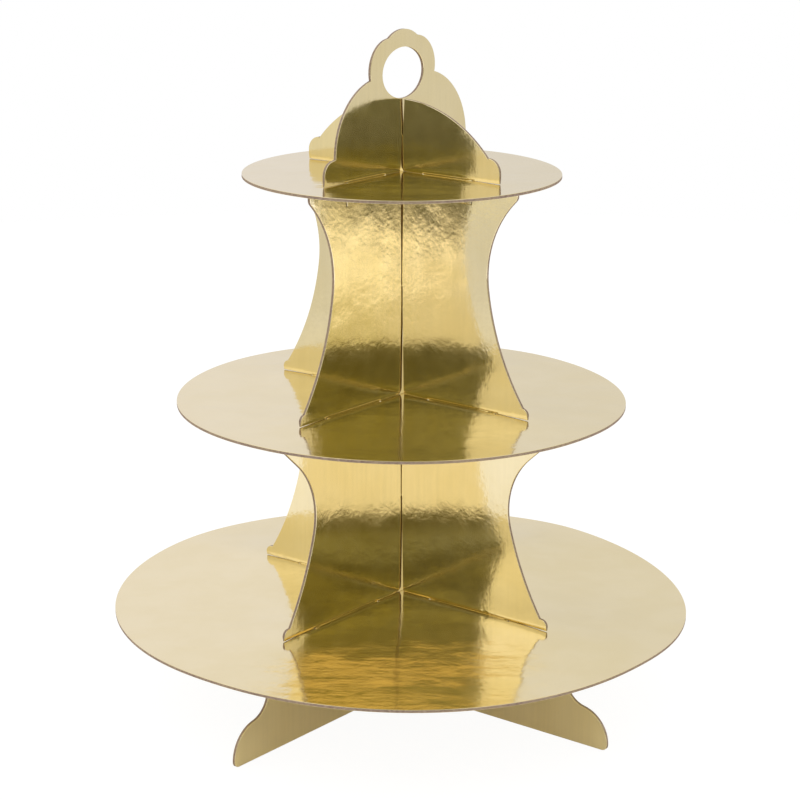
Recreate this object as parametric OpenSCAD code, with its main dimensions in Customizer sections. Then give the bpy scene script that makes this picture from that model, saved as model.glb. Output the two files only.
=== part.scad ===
// Knock-down three-tier cake stand, die cut from foil-faced board.
// Every level is the same idea: two upright panels cross in a half-lap, a round disc rests on their
// top edges, and the tabs of the next pair of panels pass down through slots in that disc.
// Panels marked a are fitted first and run along X. Panels marked b drop over them and run along Y.
// On the crown it is the other way round, because the carry ring has to go on last.
// The floor is z = 0 and the stand's axis is the Z axis.

/* [Board] */
// Thickness of the foil-faced board that every piece is cut from
board = 1.6; // [1.2:0.1:2]
// Side clearance of a board in a slot
slot_gap = 0.1; // [0.05:0.01:0.2]
// Clearance at each end of a tab in its slot
end_gap = 0.5; // [0.2:0.1:1]
// How far the tabs reach below a disc
tab_drop = 10; // [6:1:16]
// Width of a half-lap slot at its round end
lap_w = 2.4; // [2.2:0.1:3]
// Width of a half-lap slot at its mouth
lap_mouth = 4; // [3:0.1:5]

/* [Discs] */
// Diameter of the bottom disc
bottom_d = 300; // [280:1:330]
// Diameter of the middle disc
middle_d = 231; // [215:1:260]
// Diameter of the top disc
top_d = 161; // [150:1:190]

/* [Heights] */
// Floor to the top face of the bottom disc
bottom_z = 55; // [50:1:70]
// Top face of the bottom disc to the top face of the middle disc
lower_rise = 108; // [104:1:120]
// Top face of the middle disc to the top face of the top disc
upper_rise = 116; // [112:1:125]

/* [Feet] */
// Half length of a foot panel on the floor, at its toes
toe_r = 132; // [126:1:140]
// Half length of a foot panel above its toes
foot_neck_r = 106.5; // [100:0.5:110]
// Radius of the round top of a toe
toe_round = 17.5; // [15:0.5:20]
// Radius of the hollow curve above a toe
instep_round = 13; // [10:0.5:15]

/* [Lower column] */
// Half width of a lower column panel at its base
lower_base_r = 94; // [90:1:98]
// Half width at its waist
lower_waist_r = 69; // [66:1:72]
// Height of the waist above the bottom disc
lower_waist_h = 59.5; // [56:0.5:63]
// Half width of its top ears
lower_ear_r = 96; // [94:1:98]
// Radius of the curve at its waist
lower_waist_round = 38; // [34:1:42]
// Radius of the long curve below the waist
lower_skirt_round = 160; // [140:5:200]
// Angle that the waist curve turns through before the skirt begins
lower_skirt_turn = 15; // [8:1:20]
// Angle at which the flare under the ears leaves the upright
lower_flare = 48; // [45:1:50]

/* [Upper column] */
// Half width of an upper column panel at its base
upper_base_r = 80; // [77:1:84]
// Half width at its waist
upper_waist_r = 54.2; // [52:0.1:57]
// Height of the waist above the middle disc
upper_waist_h = 69.5; // [66:0.5:72]
// Half width of its top ears
upper_ear_r = 72; // [71:0.5:74]
// Radius of the curve at its waist
upper_waist_round = 54; // [50:1:55]
// Radius of the long curve below the waist
upper_skirt_round = 130; // [110:5:160]
// Angle that the waist curve turns through before the skirt begins
upper_skirt_turn = 8; // [5:1:15]
// Angle at which the flare under the ears leaves the upright
upper_flare = 45; // [42:1:47]

/* [Crown] */
// Half width of both crown panels at their base
crown_base_r = 61; // [58:1:64]
// Height of the cross panel's domed top above the top disc
cross_crest = 36.5; // [34:0.5:36.5]
// Radius of the cross panel's domed top
cross_dome = 70.7; // [66:0.1:76]
// Height of the ring above the top disc
ring_top = 71; // [69:0.5:73]
// Width of the oval finger hole
hole_w = 32.8; // [28:0.2:34]
// Height of the oval finger hole
hole_h = 25.4; // [22:0.2:26]
// Height of the finger hole's centre above the top disc
hole_z = 49.5; // [49.5:0.5:51]

/* [Hidden] */

// Greatest gap between a cut curve and the straight segments that draw it
chord_gap = 0.02;
// Facets of a disc, which is a true circle once rebuilt
disc_fn = 180;
// Rounding of the ears and of the top corners of the feet
ear_round = 4;
// Rounding of the toes where they meet the floor
toe_corner = 3;
// Rounding at the shoulders of the column panels, and the height at which it starts
shoulder_round = 3.5;
shoulder_h = 2;
// The same for the crown panels
crown_shoulder_round = 7;
crown_shoulder_h = 5;
// Gap left above and below where two half-laps meet
lap_gap = 0.25;
// Share of a half-lap slot's depth over which it narrows from its mouth
mouth_share = 0.8;
// Clearance below a tab in the notch that takes it
notch_gap = 1;

middle_z = bottom_z + lower_rise;
top_z = middle_z + upper_rise;
slot_w = board + 2 * slot_gap;
tab_len = board + tab_drop;

// Inner and outer ends of the tabs that pass through each disc, measured from the axis
lower_tab = [20, 70];
upper_tab = [18, 60];
crown_tab = [14, 44];

gold = [0.85, 0.75, 0.45];

// ---- outlines: x is the distance from the axis, y is the height above the panel's base ----

// Points on an arc about c, from angle a0 to angle a1
function arc(c, r, a0, a1) =
    let (n = ceil(abs(a1 - a0) / (2 * acos(1 - chord_gap / r))))
    [for (i = [0:n]) c + r * [cos(a0 + (a1 - a0) * i / n), sin(a0 + (a1 - a0) * i / n)]];

// The outline's left half is its right half mirrored
function both_sides(right) =
    concat(right, [for (i = [len(right) - 1:-1:0]) [-right[i][0], right[i][1]]]);

// Side of a column panel from its base shoulder up to its ear
function column_side(base_r, waist_r, waist_h, ear_r, waist_round, skirt_round, turn, flare, h) =
    let (waist_c = [waist_r + waist_round, waist_h],
         skirt_c = waist_c + (skirt_round - waist_round) * [cos(turn), sin(turn)],
         notch_h = shoulder_h + shoulder_round,
         skirt_end = asin((skirt_c[1] - notch_h) / skirt_round),
         flare_start = waist_c - waist_round * [cos(flare), -sin(flare)],
         ear_c_x = ear_r - ear_round,
         ear_c_y = flare_start[1]
             + (ear_round + cos(flare) * (ear_c_x - flare_start[0])) / sin(flare))
    concat([[base_r, 0]],
           arc([base_r - shoulder_round, shoulder_h], shoulder_round, 0, 90),
           arc(skirt_c, skirt_round, 180 + skirt_end, 180 + turn),
           arc(waist_c, waist_round, 180 + turn, 180 - flare),
           arc([ear_c_x, ear_c_y], ear_round, -flare, 0),
           [[ear_r, h]]);

module column_outline(base_r, waist_r, waist_h, ear_r, waist_round, skirt_round, turn, flare, h) {
    polygon(both_sides(column_side(base_r, waist_r, waist_h, ear_r, waist_round, skirt_round,
                                   turn, flare, h)));
}

module lower_column_outline() {
    column_outline(lower_base_r, lower_waist_r, lower_waist_h, lower_ear_r, lower_waist_round,
                   lower_skirt_round, lower_skirt_turn, lower_flare, lower_rise - board);
}

module upper_column_outline() {
    column_outline(upper_base_r, upper_waist_r, upper_waist_h, upper_ear_r, upper_waist_round,
                   upper_skirt_round, upper_skirt_turn, upper_flare, upper_rise - board);
}

// A foot panel stands on a straight edge between two round toes
module foot_outline() {
    h = bottom_z - board;
    toe_c = [toe_r - toe_round, toe_corner];
    reach = toe_round + instep_round;
    instep_dx = foot_neck_r + instep_round - toe_c[0];
    instep_c = toe_c + [instep_dx, sqrt(reach * reach - instep_dx * instep_dx)];
    tangent = acos(instep_dx / reach);
    polygon(both_sides(concat(
        arc([toe_r - toe_corner, toe_corner], toe_corner, -90, 0),
        arc(toe_c, toe_round, 0, tangent),
        arc(instep_c, instep_round, 180 + tangent, 180),
        arc([foot_neck_r - ear_round, h - ear_round], ear_round, 0, 90))));
}

function crown_shoulder() =
    concat([[crown_base_r, 0]],
           arc([crown_base_r - crown_shoulder_round, crown_shoulder_h], crown_shoulder_round, 0, 90));

// The cross panel is one low dome between two shoulders
module cross_outline() {
    dome_c = [0, cross_crest - cross_dome];
    notch_r = crown_base_r - crown_shoulder_round;
    dome_start = acos(notch_r / cross_dome);
    polygon(both_sides(concat(crown_shoulder(), arc(dome_c, cross_dome, dome_start, 90))));
}

// The ring panel has a round lobe on each side and a ring edged with three scallops
module ring_outline() {
    lobe_round = 36.5;
    lobe_c = [16, 12.5];
    side_round = 15.8;
    side_c = [10, ring_top - 19.5];
    top_round = 19;
    top_c = [0, ring_top - top_round];
    lobe_end = 74.5;
    side_start = -14;
    scallop_meet = 11.7;
    polygon(both_sides(concat(
        crown_shoulder(),
        arc(lobe_c, lobe_round, 0, lobe_end),
        arc(side_c, side_round, side_start, acos((scallop_meet - side_c[0]) / side_round)),
        arc(top_c, top_round, acos(scallop_meet / top_round), 90))));
}

module finger_hole() {
    sides = 72;
    polygon([for (i = [0:sides - 1])
        [hole_w / 2 * cos(360 * i / sides), hole_z + hole_h / 2 * sin(360 * i / sides)]]);
}

// ---- joinery, drawn in the same plane as the outlines ----

// The pair of tabs under a panel's base
module tabs(ends) {
    for (side = [-1, 1])
        translate([side * (ends[0] + ends[1]) / 2, (board - tab_len) / 2])
            square([ends[1] - ends[0], tab_len + board], center = true);
}

// The pair of notches in a panel's top edge that the next panel's tabs drop into
module tab_notches(ends, h) {
    notch_l = ends[1] - ends[0] + 2 * end_gap;
    notch_h = tab_drop + notch_gap + board;
    for (side = [-1, 1])
        translate([side * (ends[0] + ends[1]) / 2, h + board - notch_h / 2])
            square([notch_l, notch_h], center = true);
}

// A half-lap slot from its round end up to the mouth, opening a little at the mouth
module lap_slot(depth) {
    taper = depth * mouth_share;
    polygon(concat(
        arc([0, lap_w / 2], lap_w / 2, 180, 360),
        [[lap_w / 2, depth - taper], [lap_mouth / 2, depth], [lap_mouth / 2, depth + board],
         [-lap_mouth / 2, depth + board], [-lap_mouth / 2, depth], [-lap_w / 2, depth - taper]]));
}

// Slot open at the top edge, cut down to the height lap
module slot_from_top(lap, h) {
    translate([0, lap - lap_gap])
        lap_slot(h - lap + lap_gap);
}

// Slot open at the base, cut up to the height lap
module slot_from_base(lap) {
    translate([0, lap + lap_gap])
        mirror([0, 1])
            lap_slot(lap + lap_gap);
}

// ---- placing: a panel outline becomes an upright board ----

module upright_x(z) {
    color(gold)
        translate([0, board / 2, z])
            rotate([90, 0, 0])
                linear_extrude(board)
                    children();
}

module upright_y(z) {
    rotate([0, 0, 90])
        upright_x(z)
            children();
}

// A round disc with a slot for every tab of the two panels above it
module disc(d, z, ends) {
    slot_l = ends[1] - ends[0] + 2 * end_gap;
    color(gold)
        difference() {
            translate([0, 0, z - board])
                cylinder(d = d, h = board, $fn = disc_fn);
            for (turn = [0:90:270])
                rotate([0, 0, turn])
                    translate([ends[0] - end_gap, -slot_w / 2, z - 2 * board])
                        cube([slot_l, slot_w, 3 * board]);
        }
}

// ---- the pieces ----

module foot_panel_a() {
    h = bottom_z - board;
    upright_x(0)
        difference() {
            foot_outline();
            tab_notches(lower_tab, h);
            slot_from_top(h / 2, h);
        }
}

module foot_panel_b() {
    h = bottom_z - board;
    upright_y(0)
        difference() {
            foot_outline();
            tab_notches(lower_tab, h);
            slot_from_base(h / 2);
        }
}

module bottom_disc() {
    disc(bottom_d, bottom_z, lower_tab);
}

module lower_column_panel_a() {
    h = lower_rise - board;
    upright_x(bottom_z)
        difference() {
            union() {
                lower_column_outline();
                tabs(lower_tab);
            }
            tab_notches(upper_tab, h);
            slot_from_top(h / 2, h);
        }
}

module lower_column_panel_b() {
    h = lower_rise - board;
    upright_y(bottom_z)
        difference() {
            union() {
                lower_column_outline();
                tabs(lower_tab);
            }
            tab_notches(upper_tab, h);
            slot_from_base(h / 2);
        }
}

module middle_disc() {
    disc(middle_d, middle_z, upper_tab);
}

module upper_column_panel_a() {
    h = upper_rise - board;
    upright_x(middle_z)
        difference() {
            union() {
                upper_column_outline();
                tabs(upper_tab);
            }
            tab_notches(crown_tab, h);
            slot_from_top(h / 2, h);
        }
}

module upper_column_panel_b() {
    h = upper_rise - board;
    upright_y(middle_z)
        difference() {
            union() {
                upper_column_outline();
                tabs(upper_tab);
            }
            tab_notches(crown_tab, h);
            slot_from_base(h / 2);
        }
}

module top_disc() {
    disc(top_d, top_z, crown_tab);
}

module crown_cross_panel() {
    upright_y(top_z)
        difference() {
            union() {
                cross_outline();
                tabs(crown_tab);
            }
            slot_from_top(cross_crest / 2, cross_crest);
        }
}

module crown_ring_panel() {
    upright_x(top_z)
        difference() {
            union() {
                ring_outline();
                tabs(crown_tab);
            }
            finger_hole();
            slot_from_base(cross_crest / 2);
        }
}

foot_panel_a();
foot_panel_b();
bottom_disc();
lower_column_panel_a();
lower_column_panel_b();
middle_disc();
upper_column_panel_a();
upper_column_panel_b();
top_disc();
crown_cross_panel();
crown_ring_panel();
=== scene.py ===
"""Three-tier cake stand of gold foil-faced board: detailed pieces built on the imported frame."""
import math

import bmesh
import bpy
import numpy as np
from mathutils import Matrix, Vector, geometry, noise


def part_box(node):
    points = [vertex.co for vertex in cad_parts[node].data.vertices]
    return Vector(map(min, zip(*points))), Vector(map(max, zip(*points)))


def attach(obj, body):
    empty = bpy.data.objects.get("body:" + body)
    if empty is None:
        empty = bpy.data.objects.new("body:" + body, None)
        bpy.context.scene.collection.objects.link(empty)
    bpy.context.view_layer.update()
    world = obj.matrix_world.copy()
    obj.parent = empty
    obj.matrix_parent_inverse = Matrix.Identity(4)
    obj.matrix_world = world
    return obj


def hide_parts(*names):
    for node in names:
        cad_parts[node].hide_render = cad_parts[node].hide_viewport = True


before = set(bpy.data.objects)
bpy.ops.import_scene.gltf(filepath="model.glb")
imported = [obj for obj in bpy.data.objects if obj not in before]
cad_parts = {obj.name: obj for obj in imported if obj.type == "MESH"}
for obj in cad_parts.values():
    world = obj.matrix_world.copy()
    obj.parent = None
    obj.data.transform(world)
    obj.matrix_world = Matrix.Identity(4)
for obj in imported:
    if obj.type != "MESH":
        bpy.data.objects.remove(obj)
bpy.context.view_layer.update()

MM = 0.001

# Level directions towards the camera and to the photo's left
CAMERA_AZIMUTH = math.radians(-141.7)
toward_camera = Vector((math.cos(CAMERA_AZIMUTH), math.sin(CAMERA_AZIMUTH), 0))
photo_left = Vector((math.sin(CAMERA_AZIMUTH), -math.cos(CAMERA_AZIMUTH), 0))

# ---------------------------------------------------------------------------
# Board shape
# ---------------------------------------------------------------------------

# Radius that the die rolls the foil over at a cut edge: on the face it enters, on the face it
# leaves, along the slots of a disc, and where a panel touches a disc
FRONT_LIP = 0.20 * MM
BACK_LIP = 0.12 * MM
SLOT_LIP = 0.80 * MM
SEAT_LIP = 0.20 * MM
# Crease round the foot of a panel where it stands on a disc: how deep each face is pinched, and
# how far the pinch reaches up the panel and down its tab
CREASE_DEPTH = 0.50 * MM
CREASE_UP = 2.4 * MM
CREASE_DOWN = 0.08 * MM
# Rows of mesh points along the crease, their spacing, and how clear they keep of the outline
CREASE_ROWS = [x * MM for x in (-0.08, 0.0, 0.4, 0.8, 1.2, 1.8, 2.4)]
CREASE_STEP = 2.5 * MM
CREASE_CLEAR = 0.10 * MM
# The notches at the top of a panel: how far down they may reach, the share of the panel's half
# width that holds them, how far under the end of a tab their floor is drawn, and the room that
# the raised floor leaves there
NOTCH_DEPTH = 12 * MM
NOTCH_SHARE = 0.65
NOTCH_FLOOR = (0.5 * MM, 1.5 * MM)
NOTCH_GAP = 0.05 * MM
# Points this close to a level belong to it
LEVEL_MATCH = 0.1 * MM
# Rings of faces in a rolled edge
LIP_STEPS = 4
# How far the top face of a disc lies below the pieces that stand on it
SEAT_GAP = 0.06 * MM
# Spacing of mesh points inside a face and along its edges
FACE_STEP = 5.5 * MM
EDGE_STEP = 3 * MM
# Free points keep this clear of the outline
EDGE_CLEAR = 1.6 * MM
# Points round the rim of a disc
DISC_STEPS = 360
# Edges bent more than this are sharp
SHARP_EDGE = math.radians(25)
# Corners of an outline that turn less than this are points on a straight run
STRAIGHT = 2e-4
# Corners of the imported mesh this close, in metres, are one corner
WELD = 1e-6

# Disc node: how far its rim hangs below its centre between the panels under it and over them
DROOP = {
    "bottom_disc": (4.0 * MM, 2.4 * MM),
    "middle_disc": (1.4 * MM, 1.0 * MM),
    "top_disc": (0.4 * MM, 0.3 * MM),
}
# How much more a disc hangs on the photo's right than on its left, per radius
DROOP_TILT = 0.36
# How softly a disc bends over the line where a panel carries it
RIDGE = 0.18
# Where the bend runs between the panels and over them, as shares of the radius
DROOP_SPAN = ((0.13, 0.88), (0.50, 1.0))
# Size of a panel's sideways bow, and its waves per metre across and up
PANEL_BOW = 0.10 * MM
BOW_ACROSS = 9
BOW_UP = 11
# Heights of the disc tops, where the panels above them stand
LEVELS = [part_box(node)[1].z for node in DROOP]
# Underside of each disc, where the panels below it end, and how far down its tabs come
UNDERSIDES = [(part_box(disc)[0].z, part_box(panel)[0].z) for disc, panel in zip(
    DROOP, ("lower_column_panel_a", "upper_column_panel_a", "crown_cross_panel"))]


def cap_loops(obj, en, eu, ev):
    """Closed 2D outlines of the flat face that looks along en, with the board on their left."""
    mesh = obj.data
    place = {}
    nexts = {}
    for poly in mesh.polygons:
        if poly.normal.dot(en) < 0.99:
            continue
        keys = []
        for index in poly.vertices:
            co = mesh.vertices[index].co
            key = (round(co.dot(eu) / WELD), round(co.dot(ev) / WELD))
            place[key] = (co.dot(eu), co.dot(ev))
            keys.append(key)
        for start, end in zip(keys, keys[1:] + keys[:1]):
            if (end, start) in nexts:
                del nexts[(end, start)]
            else:
                nexts[(start, end)] = True
    follow = dict(nexts.keys())
    loops = []
    while follow:
        start = next(iter(follow))
        loop = [start]
        key = follow.pop(start)
        while key != start:
            loop.append(key)
            key = follow.pop(key)
        loops.append([place[k] for k in loop])
    return loops


def tidy_loop(loop, step):
    """The loop without points on straight runs, then with its long sides divided."""
    pts = np.array(loop)
    before = pts - np.roll(pts, 1, axis=0)
    after = np.roll(pts, -1, axis=0) - pts
    cross = before[:, 0] * after[:, 1] - before[:, 1] * after[:, 0]
    size = np.linalg.norm(before, axis=1) * np.linalg.norm(after, axis=1)
    pts = pts[np.abs(cross) > STRAIGHT * size]
    out = []
    for a, b in zip(pts, np.roll(pts, -1, axis=0)):
        n = max(1, math.ceil(np.linalg.norm(b - a) / step))
        out += [a + (b - a) * i / n for i in range(n)]
    return np.array(out)


def inset(loop, distance):
    """The loop moved into the board by that distance, with mitred corners."""
    side = np.roll(loop, -1, axis=0) - loop
    side /= np.linalg.norm(side, axis=1)[:, None]
    normal = np.stack([-side[:, 1], side[:, 0]], axis=1)
    other = np.roll(normal, 1, axis=0)
    mitre = (normal + other) / (1 + (normal * other).sum(1))[:, None]
    return loop + mitre * np.broadcast_to(distance, len(loop))[:, None]


def inside(points, loops):
    """Which points lie in the board, by counting the outlines crossed on the way out."""
    crossed = np.zeros(len(points), int)
    for loop in loops:
        for a, b in zip(loop, np.roll(loop, -1, axis=0)):
            spans = (a[1] > points[:, 1]) != (b[1] > points[:, 1])
            if not spans.any():
                continue
            at = a[0] + (points[:, 1] - a[1]) / (b[1] - a[1]) * (b[0] - a[0])
            crossed += spans & (points[:, 0] < at)
    return crossed % 2 == 1


def clear_of(points, loops, distance):
    """Which points keep that distance from every outline."""
    ok = np.ones(len(points), bool)
    for loop in loops:
        for a, b in zip(loop, np.roll(loop, -1, axis=0)):
            d = b - a
            t = np.clip(((points - a) @ d) / (d @ d), 0, 1)
            ok &= np.linalg.norm(points - a - t[:, None] * d, axis=1) > distance
    return ok


def lattice(loops):
    """Rows of free points over the face, every second row shifted by half a step."""
    low = np.min([loop.min(0) for loop in loops], axis=0)
    high = np.max([loop.max(0) for loop in loops], axis=0)
    rows = []
    row_step = FACE_STEP * math.sqrt(3) / 2
    for j, v in enumerate(np.arange(low[1], high[1], row_step)):
        us = np.arange(low[0] + (j % 2) * FACE_STEP / 2, high[0], FACE_STEP)
        rows.append(np.stack([us, np.full(len(us), v)], axis=1))
    return np.concatenate(rows)


def rings(radius):
    """Free points of a disc on rings, each ring turned against the last."""
    out = []
    for j, r in enumerate(np.arange(FACE_STEP, radius, FACE_STEP)):
        n = max(8, round(2 * math.pi * r / FACE_STEP))
        a = 2 * math.pi * (np.arange(n) + 0.5 * (j % 2)) / n
        out.append(np.stack([r * np.cos(a), r * np.sin(a)], axis=1))
    return np.concatenate(out)


def rolled(loop, lip, step, w_face, sign):
    """The loop at one step of a rolled edge, with how far across the board each point lies."""
    a = 0.5 * math.pi * step / LIP_STEPS
    return inset(loop, lip * (1 - math.sin(a))), w_face - sign * lip * (1 - math.cos(a))


def plate(name, node, loops, lips, free, fine, half, place, materials):
    """A board cut to these loops, as a mesh object. lips holds the front lip at each point, free
    and fine the points inside it. place(u, v, w) gives a point of the finished piece, with w
    across the board."""
    cap = [inset(loop, lip) for loop, lip in zip(loops, lips)]
    kept = []
    for points, distance in ((free, EDGE_CLEAR), (fine, CREASE_CLEAR)):
        points = points[inside(points, cap)]
        kept.append(points[clear_of(points, cap, distance)])
    free = np.concatenate(kept)
    flat = [Vector(p) for loop in cap for p in loop]
    edges = []
    base = 0
    for loop in cap:
        n = len(loop)
        edges += [(base + i, base + (i + 1) % n) for i in range(n)]
        base += n
    n_edge = base
    flat += [Vector(p) for p in free]
    found = geometry.delaunay_2d_cdt(flat, edges, [], 1, 1e-8)
    corners = np.array([tuple(co) for co in found[0]])
    middles = np.array([corners[list(tri)].mean(0) for tri in found[2]])
    triangles = [tri for tri, keep in zip(found[2], inside(middles, cap)) if keep]
    back_at = {}
    base = 0
    for loop in loops:
        for i, p in enumerate(inset(loop, BACK_LIP)):
            back_at[base + i] = p
        base += len(loop)

    bm = bmesh.new()
    front = []
    back = []
    owner = {}
    for i, (co, orig) in enumerate(zip(found[0], found[3])):
        front.append(bm.verts.new(place(co[0], co[1], half)))
        source = [k for k in orig if k < n_edge]
        b = back_at[source[0]] if source else co
        back.append(bm.verts.new(place(b[0], b[1], -half)))
        for k in source:
            owner[k] = i
    foil, core = 0, 1
    for tri in triangles:
        for verts, turn in ((front, 1), (back, -1)):
            face = bm.faces.new([verts[k] for k in tri][::turn])
            face.material_index = foil
            face.smooth = True
    base = 0
    for loop, lip in zip(loops, lips):
        n = len(loop)
        ring = [[front[owner[base + i]] for i in range(n)]]
        back_lip = np.full(n, BACK_LIP)
        steps = [rolled(loop, lip, i, half, 1) for i in range(1, LIP_STEPS + 1)]
        steps += [rolled(loop, back_lip, i, -half, -1) for i in range(LIP_STEPS, 0, -1)]
        for points, ws in steps:
            ring.append([bm.verts.new(place(p[0], p[1], w)) for p, w in zip(points, ws)])
        ring.append([back[owner[base + i]] for i in range(n)])
        for j, (upper, lower) in enumerate(zip(ring, ring[1:])):
            is_foil = j < LIP_STEPS or j > LIP_STEPS
            for i in range(n):
                k = (i + 1) % n
                face = bm.faces.new([upper[k], upper[i], lower[i], lower[k]])
                face.material_index = foil if is_foil else core
                face.smooth = True
        base += n
    bm.normal_update()
    for edge in bm.edges:
        if len(edge.link_faces) == 2 and edge.calc_face_angle(0) > SHARP_EDGE:
            edge.smooth = False
    caps = set(front) | set(back)
    for edge in bm.edges:
        on_cap = [all(v in caps for v in f.verts) for f in edge.link_faces]
        if len(on_cap) == 2 and on_cap[0] != on_cap[1]:
            edge.smooth = False
    mesh = bpy.data.meshes.new(name)
    bm.to_mesh(mesh)
    bm.free()
    for material in materials:
        mesh.materials.append(material)
    obj = bpy.data.objects.new(name, mesh)
    bpy.context.scene.collection.objects.link(obj)
    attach(obj, node)
    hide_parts(node)
    return obj


def build_panel(node, materials, seed):
    """A panel's outline from its CAD node, with a bow, a creased foot and closed notches."""
    low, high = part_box(node)
    along_x = high.x - low.x > high.y - low.y
    # The front of a panel is the face that the slots are cut from
    eu, ev, en = ((Vector((1, 0, 0)), Vector((0, 0, 1)), Vector((0, -1, 0))) if along_x
                  else (Vector((0, -1, 0)), Vector((0, 0, 1)), Vector((-1, 0, 0))))
    loops = [tidy_loop(loop, EDGE_STEP)
             for loop in cap_loops(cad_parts[node], en, eu, ev)]
    half = (high.y - low.y if along_x else high.x - low.x) / 2
    reach = high.x if along_x else high.y

    # The base line is where a panel stands on a disc
    base = {"lower": LEVELS[0], "upper": LEVELS[1], "crown": LEVELS[2]}.get(node.split("_")[0])

    def place(u, v, w):
        # The bow is nothing at the half-lap and largest at the free sides
        share = min(1.0, abs(u) / reach) ** 2
        wave = noise.noise(Vector((u * BOW_ACROSS + seed, v * BOW_UP, seed)))
        if base is not None:
            up = (v - base) / CREASE_UP if v > base else (base - v) / CREASE_DOWN
            w *= 1 - CREASE_DEPTH / half * max(0.0, 1 - up) ** 2
        return eu * u + ev * v + en * (w + PANEL_BOW * share * 2 * wave)

    lips = []
    for loop in loops:
        lip = np.full(len(loop), FRONT_LIP)
        if base is not None:
            lip[np.abs(loop[:, 1] - base) < LEVEL_MATCH] = SEAT_LIP
        for underside, tab_end in UNDERSIDES:
            below = underside - loop[:, 1]
            notched = np.abs(loop[:, 0]) < NOTCH_SHARE * reach
            in_notch = notched & (below > 0) & (below < NOTCH_DEPTH)
            lip[(np.abs(below) < LEVEL_MATCH) | in_notch] = SEAT_LIP
            # The floor of a notch comes up to the tab in it
            under_tab = tab_end - loop[:, 1]
            at_floor = (under_tab > NOTCH_FLOOR[0]) & (under_tab < NOTCH_FLOOR[1])
            loop[notched & at_floor, 1] = tab_end - NOTCH_GAP
        lips.append(lip)
    fine = np.empty((0, 2))
    if base is not None:
        us = np.arange(-reach, reach, CREASE_STEP)
        fine = np.array([(u, base + row) for row in CREASE_ROWS for u in us])
    return plate(node + "_foil", node, loops, lips, lattice(loops), fine, half, place, materials)


def build_disc(node, materials):
    """A disc with a true round rim and the slots of its CAD node, hanging a little at the rim."""
    low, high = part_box(node)
    radius = high.x
    bottom, top = low.z, high.z - SEAT_GAP
    up = Vector((0, 0, 1))
    found = cap_loops(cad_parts[node], up, Vector((1, 0, 0)), Vector((0, 1, 0)))
    found.sort(key=lambda loop: -np.ptp(np.array(loop)[:, 0]))
    turn = 2 * math.pi * np.arange(DISC_STEPS) / DISC_STEPS
    rim = np.stack([radius * np.cos(turn), radius * np.sin(turn)], axis=1)
    loops = [rim] + [tidy_loop(loop, EDGE_STEP) for loop in found[1:]]
    middle = (bottom + top) / 2

    def place(u, v, w):
        out = math.hypot(u, v) / radius
        between = math.hypot(math.sin(2 * math.atan2(v, u)), RIDGE)
        between = (between - RIDGE) / (math.hypot(1, RIDGE) - RIDGE)
        hang = 0.0
        for share, depth, (start, end) in zip((between, 1 - between), DROOP[node], DROOP_SPAN):
            t = min(1.0, max(0.0, (out - start) / (end - start)))
            hang += share * depth * t * t * (3 - 2 * t)
        rightward = -(u * photo_left.x + v * photo_left.y) / radius
        return Vector((u, v, middle + w - hang * (1 + DROOP_TILT * rightward)))

    lips = [np.full(len(rim), FRONT_LIP)] + [np.full(len(loop), SLOT_LIP) for loop in loops[1:]]
    return plate(node + "_foil", node, loops, lips, rings(radius), np.empty((0, 2)),
                 (top - bottom) / 2, place, materials)


# ---------------------------------------------------------------------------
# Materials
# ---------------------------------------------------------------------------

class Nodes:
    """A short way to write a node tree."""

    def __init__(self, tree):
        self.tree = tree
        tree.nodes.clear()

    def add(self, kind, inputs=None, **settings):
        node = self.tree.nodes.new(kind)
        for key, value in settings.items():
            setattr(node, key, value)
        for key, value in (inputs or {}).items():
            socket = node.inputs[key]
            if isinstance(value, bpy.types.NodeSocket):
                self.tree.links.new(value, socket)
            else:
                socket.default_value = value
        return node

    def math(self, operation, *values):
        return self.add("ShaderNodeMath", dict(enumerate(values)), operation=operation).outputs[0]

    def vector(self, operation, *values, out=0):
        return self.add("ShaderNodeVectorMath", dict(enumerate(values)),
                        operation=operation).outputs[out]

    def noise(self, where, scale, detail=2.0, rough=0.5):
        return self.add("ShaderNodeTexNoise", {"Vector": where, "Scale": scale,
                        "Detail": detail, "Roughness": rough}).outputs["Fac"]

    def ramp(self, value, a, b, to_a, to_b, smooth=True):
        node = self.add("ShaderNodeMapRange", {"Value": value, "From Min": a, "From Max": b,
                                               "To Min": to_a, "To Max": to_b})
        node.interpolation_type = "SMOOTHSTEP" if smooth else "LINEAR"
        return node.outputs[0]

    def mix(self, factor, a, b):
        node = self.add("ShaderNodeMix", {0: factor}, data_type="RGBA")
        for index, value in ((6, a), (7, b)):
            socket = node.inputs[index]
            if isinstance(value, bpy.types.NodeSocket):
                self.tree.links.new(value, socket)
            else:
                socket.default_value = value
        return node.outputs[2]


# Two tones of the foil, and the span of its roughness
FOIL_WARM = (0.855, 0.745, 0.450, 1)
FOIL_PALE = (0.875, 0.770, 0.486, 1)
FOIL_ROUGH = (0.09, 0.14)
# Relief of the foil: noise scale per metre and height in metres
FOIL_DIMPLE = (400, 0.000028)
FOIL_WAVE = (55, 0.00015)
FOIL_GRAIN = (1500, 0.0000015)
FOIL_STREAK = (700, 0.000005)
STREAK_STRETCH = (1, 1, 0.03)
STREAK_SHADE = 0.012
FOIL_TONE_SCALE = 40
FOIL_WEAR_SCALE = 90
# How far the noise is moved for each piece, so that no two are alike
FOIL_SHIFT = (0.37, 0.53, 0.19)
# The ripples of the discs: their heights in metres, and their ways across and along in waves
# per metre
RIPPLE = 0.00013
RIPPLE_ACROSS = (-95 * 0.785, -95 * 0.620, 0)
RIPPLE_ALONG = (-32 * 0.620, 32 * 0.785, 0)
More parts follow.
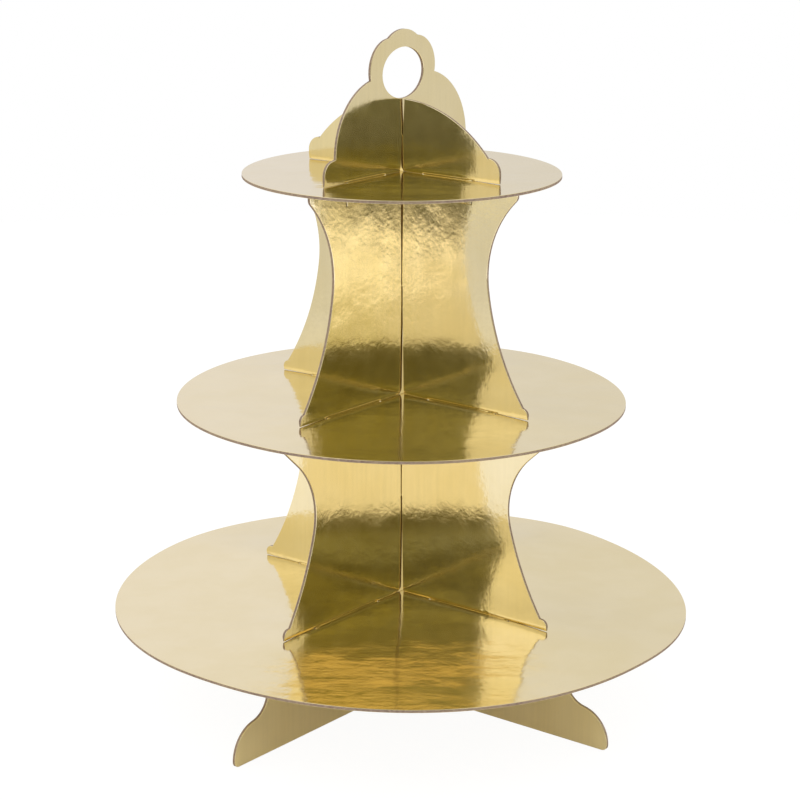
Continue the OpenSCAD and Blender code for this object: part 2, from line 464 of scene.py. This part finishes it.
# The board's pulp, and the gold that the die drags into it
CORE_DARK = (0.22, 0.155, 0.12, 1)
CORE_LIGHT = (0.42, 0.32, 0.255, 1)
CORE_GOLD = (0.46, 0.36, 0.22, 1)
CORE_GOLD_SHARE = 0.35
CORE_FIBRE_SCALE = 900
CORE_PATCH_SCALE = 60
CORE_RELIEF = 0.00012


def foil_material(name, seed, upright):
    """Gold foil laminated on board: mirror bright, faintly dimpled, with a little handling wear."""
    material = bpy.data.materials.new(name)
    material.use_nodes = True
    n = Nodes(material.node_tree)
    here = n.add("ShaderNodeTexCoord").outputs["Object"]
    here = n.vector("ADD", here, tuple(seed * shift for shift in FOIL_SHIFT))
    # Dimples of the board under the foil, its slow waves, and its fine grain
    dimple, wave, grain = (n.math("MULTIPLY", n.noise(here, scale, 1.0), depth)
                           for scale, depth in (FOIL_DIMPLE, FOIL_WAVE, FOIL_GRAIN))
    height = n.math("ADD", n.math("ADD", dimple, wave), grain)
    if upright:
        # Faint streaks run up a panel
        drawn = n.noise(n.vector("MULTIPLY", here, STREAK_STRETCH), FOIL_STREAK[0], 2.0)
        height = n.math("ADD", height, n.math("MULTIPLY", drawn, FOIL_STREAK[1]))
        shade = n.ramp(drawn, 0.35, 0.65, 1 - STREAK_SHADE, 1 + STREAK_SHADE)
    else:
        # Long low ripples lie across a disc
        rolling = n.add("ShaderNodeCombineXYZ", {
            0: n.vector("DOT_PRODUCT", here, RIPPLE_ACROSS, out="Value"),
            1: n.vector("DOT_PRODUCT", here, RIPPLE_ALONG, out="Value")}).outputs[0]
        height = n.math("ADD", height, n.math("MULTIPLY", n.noise(rolling, 1.0, 2.0), RIPPLE))
        shade = 1.0
    bump = n.add("ShaderNodeBump", {"Height": height, "Strength": 1.0, "Distance": 1.0})
    tint = n.ramp(n.noise(here, FOIL_TONE_SCALE, 3.0), 0.3, 0.7, 0.0, 1.0)
    colour = n.vector("MULTIPLY", n.mix(tint, FOIL_WARM, FOIL_PALE),
                      n.add("ShaderNodeCombineXYZ", {0: shade, 1: shade, 2: shade}).outputs[0])
    rough = n.ramp(n.noise(here, FOIL_WEAR_SCALE, 4.0, 0.6), 0.35, 0.75, *FOIL_ROUGH)
    shader = n.add("ShaderNodeBsdfPrincipled", {"Base Color": colour, "Metallic": 1.0,
                   "Roughness": rough, "Normal": bump.outputs[0]})
    n.add("ShaderNodeOutputMaterial", {"Surface": shader.outputs[0]})
    return material


def core_material():
    """The cut edge of the board: grey-brown pulp in thin layers, with fibres."""
    material = bpy.data.materials.new("greyboard_core")
    material.use_nodes = True
    n = Nodes(material.node_tree)
    here = n.add("ShaderNodeTexCoord").outputs["Object"]
    fibre = n.noise(here, CORE_FIBRE_SCALE, 6.0, 0.65)
    patch = n.noise(here, CORE_PATCH_SCALE, 3.0)
    colour = n.mix(n.ramp(fibre, 0.3, 0.7, 0.0, 1.0), CORE_DARK, CORE_LIGHT)
    colour = n.mix(n.ramp(patch, 0.35, 0.65, 0.0, CORE_GOLD_SHARE), colour, CORE_GOLD)
    bump = n.add("ShaderNodeBump", {"Height": n.math("MULTIPLY", fibre, CORE_RELIEF),
                                    "Strength": 1.0, "Distance": 1.0})
    shader = n.add("ShaderNodeBsdfPrincipled", {"Base Color": colour, "Roughness": 0.85,
                   "Specular IOR Level": 0.25, "Normal": bump.outputs[0]})
    n.add("ShaderNodeOutputMaterial", {"Surface": shader.outputs[0]})
    return material


core = core_material()
for index, node in enumerate(sorted(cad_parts)):
    foil = foil_material("foil_" + node, index + 1, node not in DROOP)
    if node in DROOP:
        build_disc(node, [foil, core])
    else:
        build_panel(node, [foil, core], index * 3.7 + 1)

# ---------------------------------------------------------------------------
# Stage: camera, floor, studio
# ---------------------------------------------------------------------------

# Metres, radians and millimetres of lens on a 36 mm sensor
CAMERA_DISTANCE = 1.1394
CAMERA_HEIGHT = 0.4742
CAMERA_PITCH = math.radians(15.44)
CAMERA_YAW = -0.0006
CAMERA_ROLL = 0.0025
CAMERA_LENS = 102.94


def add_camera():
    """The camera at the angle that the stand is shown from."""
    heading = CAMERA_AZIMUTH + math.pi - CAMERA_YAW
    forward = Vector((math.cos(heading) * math.cos(CAMERA_PITCH),
                      math.sin(heading) * math.cos(CAMERA_PITCH), -math.sin(CAMERA_PITCH)))
    right = forward.cross(Vector((0, 0, 1))).normalized()
    up = right.cross(forward)
    level_right = right
    right = level_right * math.cos(CAMERA_ROLL) + up * math.sin(CAMERA_ROLL)
    up = up * math.cos(CAMERA_ROLL) - level_right * math.sin(CAMERA_ROLL)
    turn = Matrix((right, up, -forward)).transposed().to_4x4()
    data = bpy.data.cameras.new("photo_camera")
    data.lens = CAMERA_LENS
    data.sensor_width = 36
    data.clip_start = 0.01
    data.clip_end = 20
    camera = bpy.data.objects.new("photo_camera", data)
    place = toward_camera * CAMERA_DISTANCE + Vector((0, 0, CAMERA_HEIGHT))
    camera.matrix_world = Matrix.Translation(place) @ turn
    bpy.context.scene.collection.objects.link(camera)
    bpy.context.scene.camera = camera


FLOOR_RADIUS = 1.36
FLOOR_COLOUR = (0.9, 0.885, 0.86, 1)
# Light that the floor gives off beside what it reflects: little under the stand, then a pool, a
# dimmer stretch and a bright far end towards the camera. Each row is a distance in metres and a
# strength. Past FLOOR_SLANTED_PAST the distance is measured towards the camera, aslant.
FLOOR_POOLS = ((0.0, 0.10), (0.16, 0.10), (0.30, 0.22), (0.50, 0.22), (0.64, 0.0), (0.97, 0.0),
               (1.03, 0.90))
FLOOR_SLANTED_PAST = 0.9
FLOOR_NEAR_TINT = (1, 1, 1.2, 1)
FLOOR_FAR_TINT = (0.97, 1, 1.4, 1)
FLOOR_TINT_TURN = (0.6, 0.9)
# Towards the camera and on the photo's right the floor is a warmer, dimmer grey
FLOOR_WARM = (0.72, 0.70, 0.50, 1)
FLOOR_WARM_AHEAD = (0.50, 0.65)
FLOOR_WARM_ASIDE = (0.02, -0.05)
# Painted light: the floor under the stand is tinted warm, standing in for gold light that the
# stand's foil bounces onto it, fading out between these distances from the middle in metres
FLOOR_BOUNCE_TINT = (0.90, 0.875, 0.74, 1)
FLOOR_BOUNCE_TINT_REACH = (0.20, 0.32)
# The far edge of the floor: where it darkens and to what share, how far aslant that runs, and
# how far to each side it stays aslant
FLOOR_END = (1.24, 1.30)
FLOOR_END_LEVEL = 0.15
FLOOR_END_SLANT = 1.0
FLOOR_END_ASIDE = 0.15
# The floor dims to the photo's left, twice: from where to where, and to what share
FLOOR_LEFT_STEPS = ((0.06, 0.15, 0.94), (0.7, 0.95, 0.86))
# How far the edge of the bright end runs aslant: metres towards the camera per metre sideways
FLOOR_SLANT = 1.14
# Share of the floor's shadow that the camera sees, and the light that makes up the rest
FLOOR_SHADOW_SEEN = 0.12
FLOOR_SEEN_GLOW = 1.04 - 0.85 * FLOOR_SHADOW_SEEN
FLOOR_SEGMENTS = 128
# The floor lies this far under the stand's feet
FLOOR_DROP = 0.0002


def add_floor():
    """A round pale floor. The camera sees it plain with a faint shadow; the foil mirrors its
    pools of light."""
    bm = bmesh.new()
    bmesh.ops.create_circle(bm, cap_ends=True, radius=FLOOR_RADIUS,
                             segments=FLOOR_SEGMENTS)
    mesh = bpy.data.meshes.new("floor")
    bm.to_mesh(mesh)
    bm.free()
    material = bpy.data.materials.new("pale_floor")
    material.use_nodes = True
    n = Nodes(material.node_tree)
    here = n.add("ShaderNodeTexCoord").outputs["Object"]
    ahead = n.vector("DOT_PRODUCT", here, tuple(toward_camera), out="Value")
    aside = n.vector("DOT_PRODUCT", here, tuple(photo_left), out="Value")
    reach = n.vector("LENGTH", here, out="Value")
    slanted = n.math("SUBTRACT", ahead, n.math("MULTIPLY", aside, FLOOR_SLANT))
    glow = FLOOR_POOLS[0][1]
    for (d0, g0), (d1, g1) in zip(FLOOR_POOLS, FLOOR_POOLS[1:]):
        along = slanted if d1 > FLOOR_SLANTED_PAST else reach
        if g1 != g0:
            step = n.ramp(along, d0, d1, 0.0, g1 - g0)
            glow = n.math("ADD", glow, step)
    near_middle = n.math("MINIMUM", n.math("MAXIMUM", aside, -FLOOR_END_ASIDE), FLOOR_END_ASIDE)
    level = n.ramp(n.math("ADD", ahead, n.math("MULTIPLY", near_middle, FLOOR_END_SLANT)),
                   *FLOOR_END, 1.0, FLOOR_END_LEVEL)
    for start, end, share in FLOOR_LEFT_STEPS:
        level = n.math("MULTIPLY", level, n.ramp(aside, start, end, 1.0, share))
    glow = n.math("MULTIPLY", glow, level)
    warm = n.math("MULTIPLY", n.ramp(ahead, *FLOOR_WARM_AHEAD, 0.0, 1.0),
                  n.ramp(aside, *FLOOR_WARM_ASIDE, 0.0, 1.0))
    colour = n.mix(warm, FLOOR_COLOUR, FLOOR_WARM)
    # Painted bounce light: the floor near the stand takes the warm tint of light off the gold foil
    colour = n.mix(n.ramp(reach, *FLOOR_BOUNCE_TINT_REACH, 0.0, 1.0), FLOOR_BOUNCE_TINT, colour)
    colour = n.vector("MULTIPLY", colour,
                      n.add("ShaderNodeCombineXYZ", {0: level, 1: level, 2: level}).outputs[0])
    lit = n.add("ShaderNodeBsdfPrincipled", {
        "Base Color": colour, "Roughness": 1.0, "Specular IOR Level": 0.0,
        "Emission Color": n.mix(n.ramp(reach, *FLOOR_TINT_TURN, 0.0, 1.0), FLOOR_NEAR_TINT,
                                FLOOR_FAR_TINT),
        "Emission Strength": glow})
    seen = n.add("ShaderNodeBsdfPrincipled", {
        "Base Color": (FLOOR_SHADOW_SEEN,) * 3 + (1,), "Roughness": 1.0,
        "Specular IOR Level": 0.0, "Emission Color": (1, 1, 1, 1),
        "Emission Strength": FLOOR_SEEN_GLOW})
    camera_ray = n.add("ShaderNodeLightPath").outputs["Is Camera Ray"]
    both = n.add("ShaderNodeMixShader", {0: camera_ray, 1: lit.outputs[0], 2: seen.outputs[0]})
    n.add("ShaderNodeOutputMaterial", {"Surface": both.outputs[0]})
    mesh.materials.append(material)
    floor = bpy.data.objects.new("floor", mesh)
    floor.location.z = -FLOOR_DROP
    bpy.context.scene.collection.objects.link(floor)


# The dark equipment behind the lens: how far behind it, its half width, and its rows from the
# bottom up, each a height against the lens in metres and a radiance
CARD_BEHIND = 0.05
CARD_HALF_WIDTH = 0.40
CARD_HEIGHT = (-0.30, 0.90)
CARD_ROWS = ((-0.30, 0.36), (-0.19, 0.36), (-0.11, 0.12), (-0.01, 0.12), (0.02, 0.30),
             (0.05, 0.15), (0.09, 0.42), (0.13, 0.42), (0.18, 0.14), (0.22, 0.25))
# How much its parts differ from each other: upright ones low down and lying ones higher up, as
# noise scales per metre, and the heights between which one gives way to the other
CARD_CONTRAST = 0.45
CARD_UPRIGHT = (60, 1, 6)
CARD_LYING = (14, 1, 70)
CARD_PARTS_TURN = (0.0, 0.03)
# Its tints low down and higher up, and on the photo's left and right, with where they change
CARD_TINT_LOW = (1.0, 1.10, 0.92, 1)
CARD_TINT_HIGH = (1.0, 1.02, 0.52, 1)
CARD_TINT_RISE = (-0.19, -0.12)
CARD_TINT_LEFT = (1.0, 1.03, 1.40, 1)
CARD_TINT_RIGHT = (1.0, 0.97, 0.75, 1)
CARD_TINT_ASIDE = (-0.05, 0.05)


def add_card():
    """A flag at the camera, which the corners of the stand mirror straight back. The camera
    itself doesn't see it."""
    bm = bmesh.new()
    low, high = CARD_HEIGHT
    corners = [(-CARD_HALF_WIDTH, low), (CARD_HALF_WIDTH, low),
               (CARD_HALF_WIDTH, high), (-CARD_HALF_WIDTH, high)]
    bm.faces.new([bm.verts.new((u, 0, v)) for u, v in corners])
    mesh = bpy.data.meshes.new("camera_flag")
    bm.to_mesh(mesh)
    bm.free()
    material = bpy.data.materials.new("camera_flag")
    material.use_nodes = True
    n = Nodes(material.node_tree)
    here = n.add("ShaderNodeTexCoord").outputs["Object"]
    leftward, _, height = n.add("ShaderNodeSeparateXYZ", {0: here}).outputs
    level = CARD_ROWS[0][1]
    for (z0, g0), (z1, g1) in zip(CARD_ROWS, CARD_ROWS[1:]):
        if g1 != g0:
            level = n.math("ADD", level, n.ramp(height, z0, z1, 0.0, g1 - g0))
    high_part = n.ramp(height, *CARD_TINT_RISE, 0.0, 1.0)
    upright = n.noise(n.vector("MULTIPLY", here, CARD_UPRIGHT), 1.0, 2.0)
    lying = n.noise(n.vector("MULTIPLY", here, CARD_LYING), 1.0, 3.0)
    above = n.ramp(height, *CARD_PARTS_TURN, 0.0, 1.0)
    varied = n.math("ADD", n.math("MULTIPLY", n.math("SUBTRACT", 1.0, above), upright),
                    n.math("MULTIPLY", above, lying))
    level = n.math("MULTIPLY", level, n.ramp(varied, 0.3, 0.7, 1 - CARD_CONTRAST,
                                             1 + CARD_CONTRAST, smooth=False))
    side = n.mix(n.ramp(leftward, *CARD_TINT_ASIDE, 0.0, 1.0), CARD_TINT_RIGHT, CARD_TINT_LEFT)
    tint = n.vector("MULTIPLY", n.mix(high_part, CARD_TINT_LOW, CARD_TINT_HIGH), side)
    glow = n.add("ShaderNodeEmission", {"Color": tint, "Strength": level})
    n.add("ShaderNodeOutputMaterial", {"Surface": glow.outputs[0]})
    mesh.materials.append(material)
    card = bpy.data.objects.new("camera_flag", mesh)
    place = toward_camera * (CAMERA_DISTANCE + CARD_BEHIND) + Vector((0, 0, CAMERA_HEIGHT))
    turn = Matrix((photo_left, toward_camera, Vector((0, 0, 1)))).transposed().to_4x4()
    card.matrix_world = Matrix.Translation(place) @ turn
    card.visible_camera = False
    card.visible_diffuse = False
    card.visible_shadow = False
    bpy.context.scene.collection.objects.link(card)


# Radiance of the white walls to the photo's left and right, of the roof, and of the room behind
# the camera
WALL_LEFT = (0.92, 0.895, 0.95, 1)
WALL_RIGHT = (0.81, 0.785, 0.78, 1)
WALL_TURN = 0.15
# Elevations, in radians, between which the walls give way to the roof
ROOF_RISE = (0.5, 1.2)
# The walls beside the stand are warmer low down: their tint, how far round from the camera it
# reaches and up to where, in degrees
WALL_LOW_TINT = (1.0, 0.97, 0.78, 1)
WALL_LOW_AROUND = (112, 85)
WALL_LOW_TOP = (29, 23)
ROOF = (1.0, 0.99, 0.97, 1)
ROOM = (0.14, 0.14, 0.10, 1)
# The opening to the room: its half width and its top, in degrees, each with a soft edge
OPENING_AZIMUTH = (15, 33)
OPENING_TOP = (21, 26)
# The walls dim towards the horizon by this share, between these elevations in degrees
HORIZON_DIM = 0.08
HORIZON_SPAN = (8, 21)
# A soft light high on the photo's left: azimuth, elevation, inner and outer radius in degrees
SOFTBOX = (145, 37, 11, 21)
SOFTBOX_ADD = 0.30


def add_world():
    """The studio that the foil mirrors, in directions round the stand. The camera sees plain
    white."""
    world = bpy.data.worlds.new("studio")
    world.use_nodes = True
    bpy.context.scene.world = world
    n = Nodes(world.node_tree)
    d = n.add("ShaderNodeTexCoord").outputs["Generated"]
    parts = n.add("ShaderNodeSeparateXYZ", {0: d}).outputs
    flat = n.vector("NORMALIZE", n.vector("MULTIPLY", d, (1, 1, 0)))
    cosine = n.vector("DOT_PRODUCT", flat, tuple(toward_camera), out="Value")
    azimuth = n.math("ARCCOSINE", n.math("MINIMUM", cosine, 1.0))
    elevation = n.math("ARCSINE", parts[2])
    leftward = n.vector("DOT_PRODUCT", d, tuple(photo_left), out="Value")
    a0, a1 = (math.radians(x) for x in OPENING_AZIMUTH)
    e0, e1 = (math.radians(x) for x in OPENING_TOP)
    beside = n.ramp(azimuth, a0, a1, 0.0, 1.0)
    above = n.ramp(elevation, e0, e1, 0.0, 1.0)
    lit = n.math("MAXIMUM", beside, above)
    wall = n.mix(n.ramp(leftward, -WALL_TURN, WALL_TURN, 0.0, 1.0), WALL_RIGHT, WALL_LEFT)
    white = n.mix(n.ramp(elevation, *ROOF_RISE, 0.0, 1.0), wall, ROOF)
    beside_low, below_top = (
        n.ramp(angle, *(math.radians(x) for x in span), 0.0, 1.0)
        for angle, span in ((azimuth, WALL_LOW_AROUND), (elevation, WALL_LOW_TOP)))
    low = n.math("MULTIPLY", beside_low, below_top)
    white = n.vector("MULTIPLY", white, n.mix(low, (1, 1, 1, 1), WALL_LOW_TINT))
    h0, h1 = (math.radians(x) for x in HORIZON_SPAN)
    white = n.vector("MULTIPLY", white, n.ramp(elevation, h0, h1, 1 - HORIZON_DIM, 1.0))
    # The soft light is added round one direction
    box_azimuth, box_elevation, inner, outer = (math.radians(x) for x in SOFTBOX)
    box_way = Vector((math.cos(box_azimuth) * math.cos(box_elevation),
                      math.sin(box_azimuth) * math.cos(box_elevation), math.sin(box_elevation)))
    away = n.math("ARCCOSINE", n.vector("DOT_PRODUCT", d, tuple(box_way), out="Value"))
    white = n.vector("ADD", white, n.ramp(away, outer, inner, 0.0, SOFTBOX_ADD))
    colour = n.mix(lit, ROOM, white)
    studio = n.add("ShaderNodeBackground", {"Color": colour, "Strength": 1.0})
    plain = n.add("ShaderNodeBackground", {"Color": (1, 1, 1, 1), "Strength": 1.0})
    seen = n.add("ShaderNodeLightPath").outputs["Is Camera Ray"]
    both = n.add("ShaderNodeMixShader", {0: seen, 1: studio.outputs[0], 2: plain.outputs[0]})
    n.add("ShaderNodeOutputWorld", {"Surface": both.outputs[0]})


def add_light(name, place, size, power, aim=(0, 0, 0.15)):
    """A round area light in watts and metres, which the foil doesn't mirror."""
    data = bpy.data.lights.new(name, "AREA")
    data.shape = "DISK"
    data.size = size
    data.energy = power
    light = bpy.data.objects.new(name, data)
    light.location = place
    light.rotation_euler = (Vector(aim) - Vector(place)).to_track_quat("-Z", "Y").to_euler()
    light.visible_glossy = False
    bpy.context.scene.collection.objects.link(light)


add_camera()
add_floor()
add_card()
add_world()
add_light("key", (-1.2, 0.4, 1.6), 1.2, 4)
add_light("fill", (0.6, -1.3, 1.4), 1.2, 2)
bpy.context.scene.view_settings.view_transform = "Standard"
